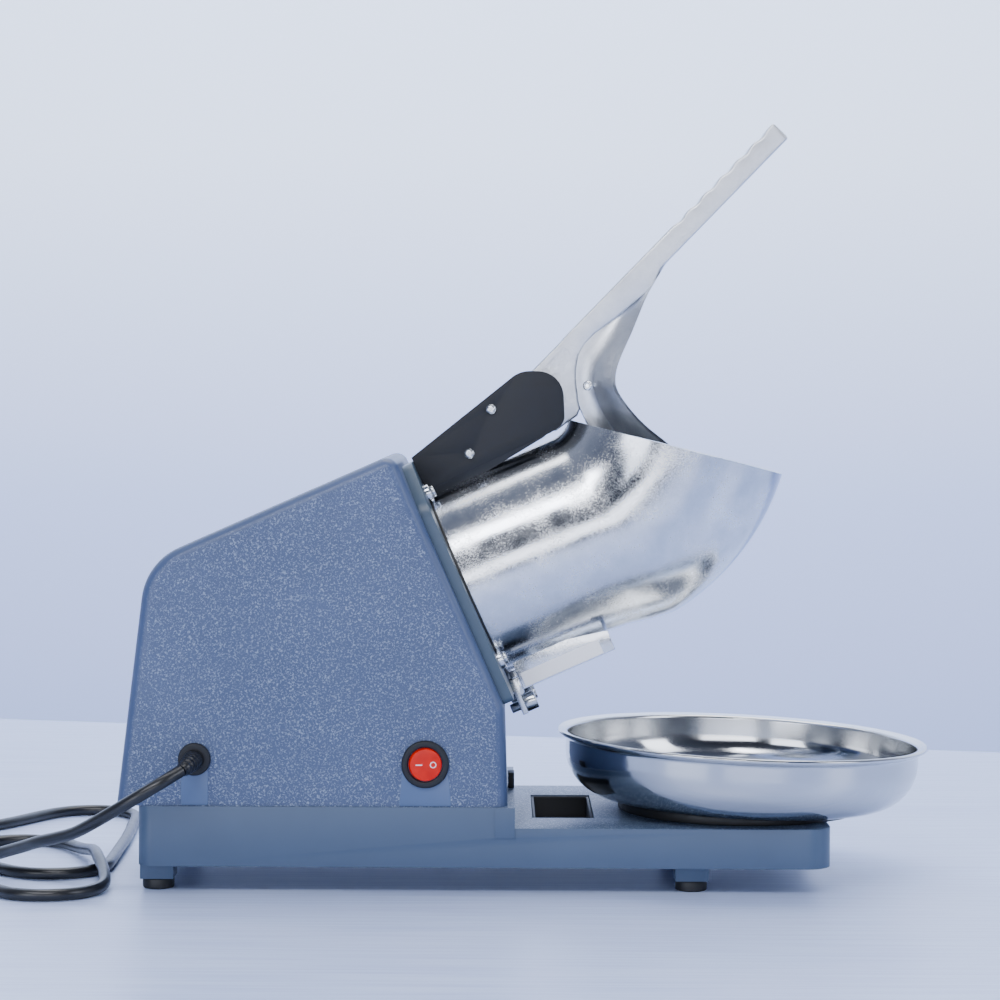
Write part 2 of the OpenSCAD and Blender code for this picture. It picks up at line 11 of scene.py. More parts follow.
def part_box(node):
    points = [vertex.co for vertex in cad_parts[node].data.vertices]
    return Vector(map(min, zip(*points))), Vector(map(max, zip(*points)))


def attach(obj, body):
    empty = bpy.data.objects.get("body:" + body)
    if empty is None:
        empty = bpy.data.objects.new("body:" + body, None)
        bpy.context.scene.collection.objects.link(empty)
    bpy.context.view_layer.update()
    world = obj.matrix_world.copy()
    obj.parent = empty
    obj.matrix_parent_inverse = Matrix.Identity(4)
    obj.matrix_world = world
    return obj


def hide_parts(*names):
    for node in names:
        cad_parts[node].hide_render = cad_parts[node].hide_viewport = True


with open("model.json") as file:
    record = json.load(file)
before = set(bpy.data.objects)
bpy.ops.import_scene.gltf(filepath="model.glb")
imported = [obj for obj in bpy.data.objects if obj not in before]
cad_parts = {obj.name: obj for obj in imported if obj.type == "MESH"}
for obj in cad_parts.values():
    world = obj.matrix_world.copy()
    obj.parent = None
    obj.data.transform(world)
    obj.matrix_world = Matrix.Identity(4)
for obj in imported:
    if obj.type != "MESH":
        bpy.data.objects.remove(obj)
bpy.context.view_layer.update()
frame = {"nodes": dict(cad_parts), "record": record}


MM = 0.001
JOINTS = {joint["name"]: joint for joint in frame["record"]["behaviour"]["joints"]}
TILT = radians(24)
FLANGE = Vector(JOINTS["rotor_spin"]["pos_m"])
ALONG = Vector((cos(TILT), 0, sin(TILT)))
ACROSS = Vector((sin(TILT), 0, -cos(TILT)))
PIVOT = Vector(JOINTS["lever_hinge"]["pos_m"])
ROCKER = Vector(JOINTS["rocker_tilt"]["pos_m"])
ELBOW = PIVOT - Vector((-1.5, 0, 3)) * MM
SIDE_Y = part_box("housing")[0][1]
GLAND = Vector([(low + high) / 2 for low, high in zip(*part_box("cord_gland"))])
GLAND.y = SIDE_Y


def on_axis(down, along, y=0):
    """A point in millimetres from the middle of the flange, down across and along the ice axis."""
    return FLANGE + (ACROSS * down + ALONG * along + Vector((0, y, 0))) * MM


# ---- camera ----------------------------------------------------------------------------------

EYE = Vector((-21.7, -1742.9, 308.2)) * MM
LENS = 95.0
PITCH = radians(2.075)
ROLL = radians(-0.3)


def add_camera():
    """A long lens square to the near side, just above the middle of the machine."""
    bpy.ops.object.camera_add(location=EYE, rotation=(pi / 2 - PITCH, ROLL, 0))
    camera = bpy.context.object
    camera.name = "studio_camera"
    camera.data.lens = LENS
    camera.data.sensor_width = 36
    camera.data.clip_end = 50
    bpy.context.scene.camera = camera


add_camera()

# ---- making materials ------------------------------------------------------------------------


def linear(code):
    """A hex sRGB colour as linear red, green, blue and alpha."""
    values = [int(code[i:i + 2], 16) / 255 for i in (0, 2, 4)]
    return [v / 12.92 if v <= 0.04045 else ((v + 0.055) / 1.055) ** 2.4 for v in values] + [1.0]


def add_node(tree, kind, links=None, **settings):
    """Adds a node. A setting is a property, or an input's name with spaces as underscores."""
    node = tree.nodes.new("ShaderNode" + kind)
    for name, value in settings.items():
        label = name.replace("_", " ")
        if name.islower() and hasattr(node, name):
            setattr(node, name, value)
        else:
            node.inputs[label].default_value = value
    for target, source in (links or {}).items():
        tree.links.new(source, node.inputs[target])
    return node


def begin_material(name, colour, **finish):
    """A material with a Principled shader: its own colour and whole-surface values."""
    material = bpy.data.materials.new(name)
    material.use_nodes = True
    shader = material.node_tree.nodes["Principled BSDF"]
    shader.inputs["Base Color"].default_value = linear(colour)
    for label, value in finish.items():
        shader.inputs[label.replace("_", " ")].default_value = value
    return material, material.node_tree, shader


def place(tree):
    """Object coordinates, in metres."""
    return add_node(tree, "TexCoord").outputs["Object"]


def ramp(tree, source, stops):
    """A colour ramp through (position, hex colour) stops."""
    node = add_node(tree, "ValToRGB", {"Fac": source})
    elements = node.color_ramp.elements
    while len(elements) < len(stops):
        elements.new(0.5)
    for element, (position, colour) in zip(elements, stops):
        element.position = position
        element.color = linear(colour)
    return node.outputs["Color"]


def spread(tree, source, low, high):
    """Turns 0..1 into low..high."""
    return add_node(tree, "MapRange", {"Value": source}, To_Min=low, To_Max=high).outputs["Result"]


def bump(tree, shader, height, depth_mm, strength=1.0, under=None):
    """Relief of a real depth in millimetres, on top of another bump if one is given."""
    links = {"Height": height}
    if under is not None:
        links["Normal"] = under
    node = add_node(tree, "Bump", links, Distance=depth_mm * MM, Strength=strength)
    tree.links.new(node.outputs["Normal"], shader.inputs["Normal"])
    return node.outputs["Normal"]


def grained_abs_painted_glints(name, low, high, glint_colour, axis):
    """Injection-moulded ABS from a spark-eroded mould: a wormy leather grain about 1 mm across
    on the flat faces along one axis, fading to smooth on rounded edges, with painted glints: a light colour
    on its ridges that stands in for highlights."""
    material, tree, shader = begin_material(name, low, Roughness=0.42, IOR=1.53)
    where = place(tree)
    worms = add_node(tree, "TexNoise", {"Vector": where}, Scale=900, Detail=1.5,
                     Roughness=0.5, Distortion=0.9).outputs["Fac"]
    ridge = add_node(tree, "MapRange", {"Value": worms}, From_Min=0.52, From_Max=0.66,
                     interpolation_type="SMOOTHSTEP").outputs["Result"]
    facing = add_node(tree, "SeparateXYZ", {"Vector": add_node(tree, "NewGeometry").outputs["True Normal"]})
    square = add_node(tree, "Math", {0: facing.outputs[axis]}, operation="ABSOLUTE").outputs[0]
    flat = add_node(tree, "MapRange", {"Value": square}, From_Min=0.9, From_Max=0.995).outputs["Result"]
    grain = add_node(tree, "Math", {0: ridge, 1: flat}, operation="MULTIPLY").outputs[0]
    cloud = add_node(tree, "TexNoise", {"Vector": where}, Scale=14, Detail=3).outputs["Fac"]
    # painted glints: the ridges of the grain are mixed towards a light colour that stands in for highlights
    # on them
    blend = add_node(tree, "MixRGB", {"Fac": spread(tree, grain, 0.0, 0.85),
                                      "Color1": ramp(tree, cloud, [(0.3, low), (0.7, high)])})
    blend.inputs["Color2"].default_value = linear(glint_colour)
    tree.links.new(blend.outputs["Color"], shader.inputs["Base Color"])
    tree.links.new(spread(tree, grain, 0.4, 0.28), shader.inputs["Roughness"])
    bump(tree, shader, grain, 0.35, 0.8)
    return material


def smooth_abs(name, colour, roughness=0.36):
    """Injection-moulded ABS from a smooth mould: satin, with faint flow and handling marks."""
    material, tree, shader = begin_material(name, colour, Roughness=roughness, IOR=1.53)
    where = place(tree)
    cloud = add_node(tree, "TexNoise", {"Vector": where}, Scale=22, Detail=4).outputs["Fac"]
    tree.links.new(spread(tree, cloud, roughness - 0.07, roughness + 0.08), shader.inputs["Roughness"])
    fine = add_node(tree, "TexNoise", {"Vector": where}, Scale=900, Detail=2).outputs["Fac"]
    bump(tree, shader, fine, 0.03, 0.35)
    return material


def satin_paint():
    """Powder coat on die-cast aluminium: satin with a faint orange peel about 1 mm across."""
    material, tree, shader = begin_material("powder coated casting", "3F5061", Roughness=0.38, IOR=1.5)
    peel = add_node(tree, "TexNoise", {"Vector": place(tree)}, Scale=650, Detail=2).outputs["Fac"]
    bump(tree, shader, peel, 0.03, 0.4)
    return material


def polished_casting(name, grit_scale, speckle, satin=0.0):
    """Aluminium casting, belt-polished by hand: bright, with a fine satin haze, scattered pits
    about half a millimetre across, and soft waves left by the belt. Satin adds roughness."""
    material, tree, shader = begin_material(name, "D3D7DE", Metallic=1.0, Roughness=0.2)
    where = place(tree)
    haze = add_node(tree, "TexNoise", {"Vector": where}, Scale=45, Detail=5, Roughness=0.6).outputs["Fac"]
    grit = add_node(tree, "TexNoise", {"Vector": where}, Scale=grit_scale, Detail=3).outputs["Fac"]
    mixed = add_node(tree, "Math", {0: haze, 1: grit}, operation="MULTIPLY").outputs[0]
    rough = add_node(tree, "MapRange", {"Value": mixed}, From_Min=0.12, From_Max=0.42,
                     To_Min=0.1 + satin, To_Max=0.34 + satin).outputs["Result"]
    tree.links.new(rough, shader.inputs["Roughness"])
    tone = ramp(tree, haze, [(0.3, "C3C8D1"), (0.65, "E2E5EA")])
    tree.links.new(tone, shader.inputs["Base Color"])
    wave = add_node(tree, "TexNoise", {"Vector": where}, Scale=28, Detail=2).outputs["Fac"]
    slow = bump(tree, shader, wave, 0.35, 0.6)
    bump(tree, shader, grit, speckle, 0.7, under=slow)
    return material


def spun_steel():
    """Stainless steel, spun and polished: near mirror, with faint turning rings 1.5 mm apart
    round the dish's own axis."""
    material, tree, shader = begin_material("spun stainless steel", "C9CBCD", Metallic=1.0, Roughness=0.14)
    low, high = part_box("dish")
    move = add_node(tree, "Mapping", {"Vector": place(tree)})
    move.inputs["Location"].default_value = [-(low[0] + high[0]) / 2, 0, 0]
    rings = add_node(tree, "TexWave", {"Vector": move.outputs[0]}, wave_type="RINGS",
                     rings_direction="Z", Scale=105, Distortion=1.2, Detail=2).outputs["Fac"]
    tree.links.new(spread(tree, rings, 0.09, 0.2), shader.inputs["Roughness"])
    bump(tree, shader, rings, 0.02, 0.25)
    return material


def steel(name, colour, roughness):
    """Steel hardware, zinc plated or ground: bright with a fine uneven finish."""
    material, tree, shader = begin_material(name, colour, Metallic=1.0, Roughness=roughness)
    fine = add_node(tree, "TexNoise", {"Vector": place(tree)}, Scale=1400, Detail=3).outputs["Fac"]
    tree.links.new(spread(tree, fine, roughness * 0.6, roughness * 1.4), shader.inputs["Roughness"])
    bump(tree, shader, fine, 0.02, 0.5)
    return material


def matt_nylon():
    """Glass-filled nylon sheet, sawn and sanded: near black, matt, with faint scuffs."""
    material, tree, shader = begin_material("black nylon plate", "0C0F16", Roughness=0.6, IOR=1.5)
    where = place(tree)
    scuff = add_node(tree, "TexNoise", {"Vector": where}, Scale=60, Detail=6, Roughness=0.7,
                     Distortion=0.6).outputs["Fac"]
    tree.links.new(ramp(tree, scuff, [(0.35, "0A0D14"), (0.7, "12161F")]), shader.inputs["Base Color"])
    tree.links.new(spread(tree, scuff, 0.52, 0.7), shader.inputs["Roughness"])
    fine = add_node(tree, "TexNoise", {"Vector": where}, Scale=1500, Detail=2).outputs["Fac"]
    bump(tree, shader, fine, 0.05, 0.4)
    return material


def soft_rubber():
    """Moulded nitrile rubber: black, with a bloom that dulls it in patches."""
    material, tree, shader = begin_material("moulded rubber", "17181A", Roughness=0.5, IOR=1.52)
    bloom = add_node(tree, "TexNoise", {"Vector": place(tree)}, Scale=180, Detail=4).outputs["Fac"]
    tree.links.new(spread(tree, bloom, 0.35, 0.62), shader.inputs["Roughness"])
    bump(tree, shader, bloom, 0.08, 0.3)
    return material


def cord_vinyl():
    """Extruded PVC sheath: black and smooth, with a satin sheen and faint drag lines."""
    material, tree, shader = begin_material("extruded PVC sheath", "141519", Roughness=0.3, IOR=1.53)
    drag = add_node(tree, "TexNoise", {"Vector": place(tree)}, Scale=320, Detail=3).outputs["Fac"]
    tree.links.new(spread(tree, drag, 0.24, 0.4), shader.inputs["Roughness"])
    bump(tree, shader, drag, 0.04, 0.3)
    return material


def red_painted_glow():
    """Clear red polycarbonate: glossy, its red lighter and darker at random, with a faint painted glow."""
    material, tree, shader = begin_material("red polycarbonate", "A80C02", Roughness=0.3, IOR=1.35)
    depth = add_node(tree, "TexNoise", {"Vector": place(tree)}, Scale=130, Detail=1).outputs["Fac"]
    tone = ramp(tree, depth, [(0.3, "B00A00"), (0.75, "C81800")])
    tree.links.new(tone, shader.inputs["Base Color"])
    # painted glow: the same red is given as a faint emission that stands in for light on the rocker
    tree.links.new(tone, shader.inputs["Emission Color"])
    shader.inputs["Emission Strength"].default_value = 0.3
    return material


def white_ink(name, colour):
    """Printed ink or film: white, slightly uneven in gloss."""
    material, tree, shader = begin_material(name, colour, Roughness=0.32)
    patch = add_node(tree, "TexNoise", {"Vector": place(tree)}, Scale=240, Detail=2).outputs["Fac"]
    tree.links.new(spread(tree, patch, 0.24, 0.42), shader.inputs["Roughness"])
    return material


def wound_copper():
    """Enamelled copper wire in close turns, seen as ribs 1 mm apart along the motor's axis."""
    material, tree, shader = begin_material("enamelled copper wire", "8A4B2A", Metallic=0.8, Roughness=0.35)
    turn = add_node(tree, "Mapping", {"Vector": place(tree)})
    turn.inputs["Rotation"].default_value = [0, TILT, 0]
    ribs = add_node(tree, "TexWave", {"Vector": turn.outputs[0]}, Scale=160, Distortion=0.6).outputs["Fac"]
    # painted shade and highlight: the ramp darkens each groove between turns and lightens each crest, on
    # wire of one enamel colour
    tree.links.new(ramp(tree, ribs, [(0.2, "5E2F17"), (0.8, "A8623A")]), shader.inputs["Base Color"])
    bump(tree, shader, ribs, 0.3, 0.8)
    return material


MATERIALS = {
    # the last colour of each grained material is a painted glint colour laid on the ridges of its grain
    "housing_plastic": grained_abs_painted_glints("grained moulded ABS", "405072", "47577A", "98A7C4", "Y"),
    "base_plastic": grained_abs_painted_glints("moulded ABS", "42536C", "475973", "93A2BA", "Z"),
    "flange_paint": satin_paint(),
    "cast_aluminium": polished_casting("polished cast aluminium", 900, 0.05),
    "stainless": spun_steel(),
    "black_plastic": matt_nylon(),
    "rubber": soft_rubber(),
    "cord_pvc": cord_vinyl(),
    "red_plastic": red_painted_glow(),
    "blank_label": white_ink("white vinyl film", "FCFCFF"),
    "zinc_steel": steel("zinc plated steel", "C6CACE", 0.24),
    "ground_steel": steel("ground steel", "C4C7CA", 0.18),
    "disc_steel": steel("turned steel", "B4B8BC", 0.3),
    "dark_cast": smooth_abs("black painted casting", "1E2024", 0.45),
    "motor_steel": steel("drawn steel shell", "8E9296", 0.35),
    "lamination": steel("stacked laminations", "5A5A5E", 0.45),
    "copper_winding": wound_copper(),
    "bronze": steel("sintered bronze", "B08D57", 0.4),
    "brass_pins": steel("plated brass", "D0B46A", 0.22),
    "circuit_board": smooth_abs("lacquered circuit board", "2F5D3A", 0.25),
}
RIVET_STEEL = steel("bright rivet steel", "E4E6EA", 0.16)
LINISHED = polished_casting("linished cast aluminium", 700, 0.12, 0.2)
INK = white_ink("white printed ink", "F2F3F6")
SLOTS = {part["node"]: part["material_slot"] for part in frame["record"]["subparts"]}

# ---- making pieces ---------------------------------------------------------------------------


def pick(*pieces):
    """Selects these pieces and no others. The first is the active one."""
    bpy.ops.object.select_all(action="DESELECT")
    for piece in pieces:
        piece.select_set(True)
    if pieces:
        bpy.context.view_layer.objects.active = pieces[0]


def begin(name, adder, **settings):
    """Adds a primitive with nothing else selected, and names it."""
    pick()
    adder(**settings)
    piece = bpy.context.object
    piece.name = piece.data.name = name
    return piece


def settle(piece):
    """Puts the piece's place, turn and size into its mesh."""
    pick(piece)
    bpy.ops.object.transform_apply(location=True, rotation=True, scale=True)


def edit(piece, *steps):
    """Runs edit-mode steps on the whole of the piece."""
    pick(piece)
    bpy.ops.object.mode_set(mode="EDIT")
    bpy.ops.mesh.select_all(action="SELECT")
    for step in steps:
        step()
    bpy.ops.object.mode_set(mode="OBJECT")


def modify(piece, kind, **settings):
    """Adds a modifier and applies it."""
    pick(piece)
    modifier = piece.modifiers.new(kind.lower(), kind)
    for name, value in settings.items():
        setattr(modifier, name, value)
    bpy.ops.object.modifier_apply(modifier=modifier.name)


def cut(piece, cutter):
    """Takes the cutter's shape out of the piece, and the cutter out of the scene."""
    modify(piece, "BOOLEAN", operation="DIFFERENCE", object=cutter, solver="EXACT")
    bpy.data.objects.remove(cutter)


def join(pieces):
    """Makes one object of several, under the first one's name."""
    pick(*pieces)
    bpy.ops.object.join()
    return pieces[0]


def soften(piece, width_mm, segments=3, above=38):
    """Rounds every edge sharper than an angle, and shades the rest smooth."""
    modify(piece, "BEVEL", width=width_mm * MM, segments=segments, limit_method="ANGLE",
           angle_limit=radians(above), use_clamp_overlap=True, miter_outer="MITER_ARC")
    shade(piece)


def shade(piece, angle=38):
    """Smooth shading, except across edges sharper than an angle."""
    pick(piece)
    bpy.ops.object.shade_smooth_by_angle(angle=radians(angle))


def merge():
    bpy.ops.mesh.remove_doubles(threshold=0.00001)


def outwards():
    bpy.ops.mesh.normals_make_consistent(inside=False)


def finish(piece, slot, body, *nodes, material=None):
    """Gives a piece its material, chosen by its slot unless one is given, puts it in its body and hides the
    CAD nodes that it stands for.
    """
    settle(piece)
    piece.data.materials.clear()
    piece.data.materials.append(material or MATERIALS[slot])
    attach(piece, body)
    if nodes:
        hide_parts(*nodes)
    return piece


def body_of(node):
    return next(body for body, nodes in frame["record"]["behaviour"]["bodies"].items() if node in nodes)


def refine(node, width_mm, segments=3, above=38, flat=True):
    """A copy of a CAD node with clean faces and rounded edges, which stands for it."""
    pick(frame["nodes"][node])
    bpy.ops.object.duplicate()
    piece = bpy.context.object
    piece.parent = None
    piece.matrix_world = Matrix.Identity(4)
    piece.name = piece.data.name = node + "_finished"
    steps = [merge]
    if flat:
        steps.append(lambda: bpy.ops.mesh.dissolve_limited(angle_limit=radians(0.5)))
    edit(piece, *steps)
    soften(piece, width_mm, segments, above)
    return finish(piece, SLOTS[node], body_of(node), node)


def arc_corner(before, point, after, radius, steps=8):
    """Points of a round corner in place of a sharp one, in two dimensions."""
    a, b, c = Vector(before), Vector(point), Vector(after)
    u, v = (a - b).normalized(), (c - b).normalized()
    half = acos(u.dot(v)) / 2
    middle = b + (u + v).normalized() * radius / sin(half)
    p, q = b + u * radius / tan_of(half) - middle, b + v * radius / tan_of(half) - middle
    start = atan2(p.y, p.x)
    turn = (atan2(q.y, q.x) - start + 3 * pi) % (2 * pi) - pi
    return [(middle.x + radius * cos(start + turn * i / steps),
             middle.y + radius * sin(start + turn * i / steps)) for i in range(steps + 1)]


def tan_of(angle):
    return sin(angle) / cos(angle)


def rounded(points, radii, steps=8):
    """A closed outline whose corners are rounded by their own radii."""
    outline = []
    for i, (point, radius) in enumerate(zip(points, radii)):
        if radius > 0:
            outline += arc_corner(points[i - 1], point, points[(i + 1) % len(points)], radius, steps)
        else:
            outline.append(tuple(point))
    return outline


def plate(name, outline, y0, y1):
    """A disc drawn out to an outline in X and Z, then extruded along Y. All in millimetres."""
    piece = begin(name, bpy.ops.mesh.primitive_circle_add, vertices=len(outline), fill_type="NGON")
    for vertex, (x, z) in zip(piece.data.vertices, outline):
        vertex.co = (x * MM, y0 * MM, z * MM)

    def pull():
        bpy.ops.mesh.extrude_region_move(TRANSFORM_OT_translate={"value": (0, (y1 - y0) * MM, 0)})
        bpy.ops.mesh.select_all(action="SELECT")
        outwards()
    edit(piece, pull)
    return piece


def draped(name, rows, closed=True, caps=False):
    """A grid laid over rows of points, its side seam merged, its ends capped if asked."""
    count = len(rows[0])
    across = count if closed else count - 1
    piece = begin(name, bpy.ops.mesh.primitive_grid_add, x_subdivisions=across,
                  y_subdivisions=len(rows) - 1)
    points = [row[i % count] for row in rows for i in range(across + 1)]
    for vertex, point in zip(piece.data.vertices, points):
        vertex.co = point

    def close():
        merge()
        if caps:
            bpy.ops.mesh.select_all(action="DESELECT")
            bpy.ops.mesh.select_non_manifold(extend=False)
            bpy.ops.mesh.fill_holes(sides=0)
        bpy.ops.mesh.select_all(action="SELECT")
        outwards()
    edit(piece, close)
    return piece


def lathe(name, profile, steps=96):
    """A line of (radius, height) points in millimetres, spun about Z into a closed skin."""
    piece = begin(name, bpy.ops.mesh.primitive_circle_add, vertices=len(profile), fill_type="NOTHING")
    for vertex, (radius, height) in zip(piece.data.vertices, profile):
        vertex.co = (radius * MM, 0, height * MM)

    def spin():
        bpy.ops.mesh.spin(steps=steps, angle=2 * pi, center=(0, 0, 0), axis=(0, 0, 1))
        bpy.ops.mesh.select_all(action="SELECT")
        bpy.ops.mesh.remove_doubles(threshold=0.00002)
        outwards()
    edit(piece, spin)
    return piece


def stand(piece, origin, up):
    """Moves a piece modelled upright round the origin so that its Z points along up."""
    piece.matrix_world = Matrix.Translation(origin) @ up.to_track_quat("Z", "Y").to_matrix().to_4x4()
    settle(piece)


# ---- cord ------------------------------------------------------------------------------------

CORD_D = 7.8
ROUTE = [
    (-218, -117, 80.5), (-230.5, -127.5, 73.5), (-245.5, -129.5, 64.5), (-260, -124, 55.5),
    (-273.5, -115.5, 47), (-286.5, -105, 39.5), (-299.5, -93.5, 34.5), (-312.5, -81.5, 30),
    (-324, -69, 25), (-336, -56, 20), (-349, -44.5, 15), (-362.5, -33.5, 11), (-378, -24.5, 7),
    (-393, -14.5, 4.5), (-407, -3, 4), (-418.5, 10.5, 4), (-426.5, 26.5, 4), (-430.5, 44.5, 4),
    (-429.5, 62.5, 4), (-424.5, 79.5, 4), (-417, 96, 4), (-407, 111.5, 4), (-396.5, 126, 4),
    (-385.5, 140.5, 4), (-375.5, 155.5, 4), (-367, 171.5, 4), (-359, 187.5, 4), (-349.5, 203, 4),
    (-336, 214.5, 4), (-318, 217.5, 4), (-301.5, 211, 4), (-290.5, 196.5, 4), (-287, 179, 4),
    (-285.5, 161, 4), (-284.5, 143, 4), (-283, 125, 4), (-282, 107, 4), (-281, 88.5, 4),
    (-280.5, 70.5, 4), (-280, 52.5, 4), (-279.5, 34.5, 4), (-279, 16.5, 4), (-278.5, -1.5, 4),
    (-279, -20, 4), (-285.5, -36.5, 4), (-299.5, -47.5, 4), (-317.5, -49.5, 4), (-334, -42.5, 4),
    (-347, -30, 4), (-359, -16.5, 4), (-370.5, -2.5, 4), (-379, 13.5, 4), (-384, 31, 4), (-384, 49, 4),
    (-378.5, 66, 4), (-365.5, 78, 4), (-348, 82, 4), (-331, 76, 4), (-318.5, 63.5, 4.5), (-309, 48, 5),
    (-301.5, 31.5, 6.5), (-295.5, 14.5, 9), (-290, -2.5, 11.5), (-285.5, -20, 13),
    (-281, -37.5, 12.5), (-276, -55, 10), (-272, -72.5, 7.5), (-270, -90, 5), (-275, -107.5, 4),
    (-287.5, -120, 4), (-304.5, -124.5, 4), (-321.5, -119.5, 4), (-334.5, -107, 4), (-348.5, -95.5, 4),
    (-364.5, -86.5, 4), (-382, -83, 4), (-400, -81.5, 4), (-418, -82, 4)]


def spline(a, b, c, d, t):
    """A smooth curve from b to c that heads from a and towards d."""
    return 0.5 * (2 * b + (c - a) * t + (2 * a - 5 * b + 4 * c - d) * t ** 2
                  + (3 * b - a - 3 * c + d) * t ** 3)


def smooth_route(points, steps):
    """The route in metres, with smooth steps between its points."""
    points = [Vector(point) * MM for point in points]
    last = len(points) - 1
    path = [spline(points[max(0, i - 1)], points[i], points[i + 1], points[min(last, i + 2)], t / steps)
            for i in range(last) for t in range(steps)]
    return path + [points[last]]


def swept(name, path, radii, sides=20):
    """A round skin that follows a path, its radius given in millimetres at each point."""
    rows = []
    for i, (point, radius) in enumerate(zip(path, radii)):
        heading = (path[min(i + 1, len(path) - 1)] - path[max(i - 1, 0)]).normalized()
        side = Vector((0, 0, 1)).cross(heading).normalized()
        up = heading.cross(side)
        rows.append([point + (side * cos(2 * pi * j / sides) + up * sin(2 * pi * j / sides)) * radius * MM
                     for j in range(sides)])
    return draped(name, rows, caps=True)


def power_cord():
    """The sheath, its tapered ribbed boot at the gland, and its moulded plug."""
    path = smooth_route(ROUTE, 6)
    sheath = finish(swept("power_cord", path, [CORD_D / 2] * len(path), 16), "cord_pvc", "machine", "cord")
    shade(sheath, 60)
    start = GLAND + Vector((0, -3, 0)) * MM
    end = path[0]
    after = end + Vector((-20, -16, -12)) * MM
    before = start + Vector((2, 30, 0)) * MM
    count = 36
    bend = [spline(before, start, end, after, i / count) for i in range(count + 1)]
    ribs = [6.4 - 2.4 * i / count + (0.5 if i % 6 < 3 and 4 < i < 32 else 0) for i in range(count + 1)]
    boot = finish(swept("strain_boot", bend, ribs, 24), "cord_pvc", "machine", "strain_relief")
    shade(boot, 50)
    low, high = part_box("plug")
    middle_y, top = (low[1] + high[1]) / 2 / MM, high[2] / MM
    x1, x0 = high[0] / MM, low[0] / MM
    axis_z = ROUTE[-1][2]
    rows = []
    for x, wide, up, down in [(x1, 4.6, 4.6, 3.4), (x1 - 3, 5.4, 5.4, 3.4), (x1 - 8, 7, 7, 3.4),
                              (x1 - 14, 9.5, 11, 3.4), (x1 - 20, 11.4, 15.5, 3.4),
                              (x0 + 3, 12, top - axis_z, 3.4), (x0 + 0.8, 11.6, top - axis_z - 0.4, 3.2),
                              (x0, 10.6, top - axis_z - 1.4, 2.4)]:
        row = []
        for j in range(32):
            angle = 2 * pi * j / 32
            flat_cos = abs(cos(angle)) ** 0.6 * (1 if cos(angle) > 0 else -1)
            flat_sin = abs(sin(angle)) ** 0.6 * (1 if sin(angle) > 0 else -1)
            height = (up + down) / 2
            row.append(Vector((x, middle_y + wide * flat_cos,
                               axis_z - down + height + height * flat_sin)) * MM)
        rows.append(row)
    body = draped("plug_body", rows, caps=True)
    shade(body, 50)
    finish(body, "black_plastic", "machine", "plug")
    pins = refine("plug_pins", 0.5, 2)


power_cord()

# ---- hopper, lever and pusher ----------------------------------------------------------------

TUBE_R, CAST_T, TUBE_LEN, BEND_R, BEND, MOUTH_HALF = 65, 4, 89, 83, 52, 68
LEAN, MOUTH_SWELL = 24, 17
LUG_RING, LUG_TURNS = 71, (-155, 155, -43, 43)


def hopper_ring(lean, back, swell, inside, sides=96):
    """A ring of the tube or elbow, as the CAD has it, from how far its plane leans, how far back
    along the tube it lies, how far it swells outwards and how much smaller it is all round."""
    inner = BEND_R - TUBE_R + inside
    outer = BEND_R + TUBE_R + swell - inside
    half_y = TUBE_R + (MOUTH_HALF - TUBE_R) * max(0, lean - LEAN) / BEND - inside
    middle, reach = (inner + outer) / 2, (outer - inner) / 2
    centre = ELBOW - ALONG * back * MM
    ring = []
    for j in range(sides):
        angle = 2 * pi * j / sides
        r = middle + reach * cos(angle)
        ring.append(centre + Vector((r * sin(radians(lean)), half_y * sin(angle),
                                     -r * cos(radians(lean)))) * MM)
    return ring


def hopper_rows(inside):
    """The rings of one wall: eight along the tube, then twenty-five round the elbow."""
    rows = [hopper_ring(LEAN, TUBE_LEN * (1 - t / 8), 4 * (t / 8) ** 2, inside) for t in range(8)]
    rows += [hopper_ring(LEAN + BEND * s / 24, 0, 4 + 5 * min(1, s / 5) + 8 * s / 24, inside)
             for s in range(25)]
    return rows


def hopper():
    """The tube and elbow as one casting with a rolled lip, lugs at the flange and a slot on top."""
    rows = hopper_rows(0)
    lip = [hopper_ring(LEAN + BEND + past, 0, MOUTH_SWELL, inside)
           for past, inside in ((0.25, 0.6), (0.35, CAST_T / 2), (0.25, CAST_T - 0.6))]
    shell = rows + lip + list(reversed(hopper_rows(CAST_T)))
    piece = draped("hopper_casting", shell + [rows[0]])
    cutter = begin("slot_cutter", bpy.ops.mesh.primitive_cube_add, size=1)
    cutter.scale = (75 * MM, 32 * MM, 140 * MM)
    settle(cutter)
    turn = Matrix((ACROSS, (0, 1, 0), ALONG)).transposed().to_4x4()
    cutter.matrix_world = Matrix.Translation(on_axis(-82.5, 82)) @ turn
    settle(cutter)
    cut(piece, cutter)
    shade(piece, 40)
    finish(piece, "cast_aluminium", "machine", "hopper")
    for i, turn in enumerate(LUG_TURNS):
        lug = lathe("hopper_lug_%d" % i, rounded([(2.6, 0.1), (6.5, 0.1), (6.5, 3.5), (2.6, 3.5)],
                                                [0, 0, 1.0, 0.4], 4), 40)
        a = radians(turn)
        stand(lug, on_axis(LUG_RING * cos(a), 0, LUG_RING * sin(a)), ALONG)
        shade(lug)
        finish(lug, "cast_aluminium", "machine")
    # a thin black ring between the tube and the flange plate, making the dark line along that joint
    dark_ring = lathe("tube_dark_ring", rounded([(60.6, 0.05), (66.4, 0.05), (66.4, 1.7), (60.6, 1.7)],
                                        [0, 0, 0.5, 0.3], 4), 96)
    stand(dark_ring, FLANGE, ALONG)
    shade(dark_ring)
    finish(dark_ring, "rubber", "machine")


hopper()

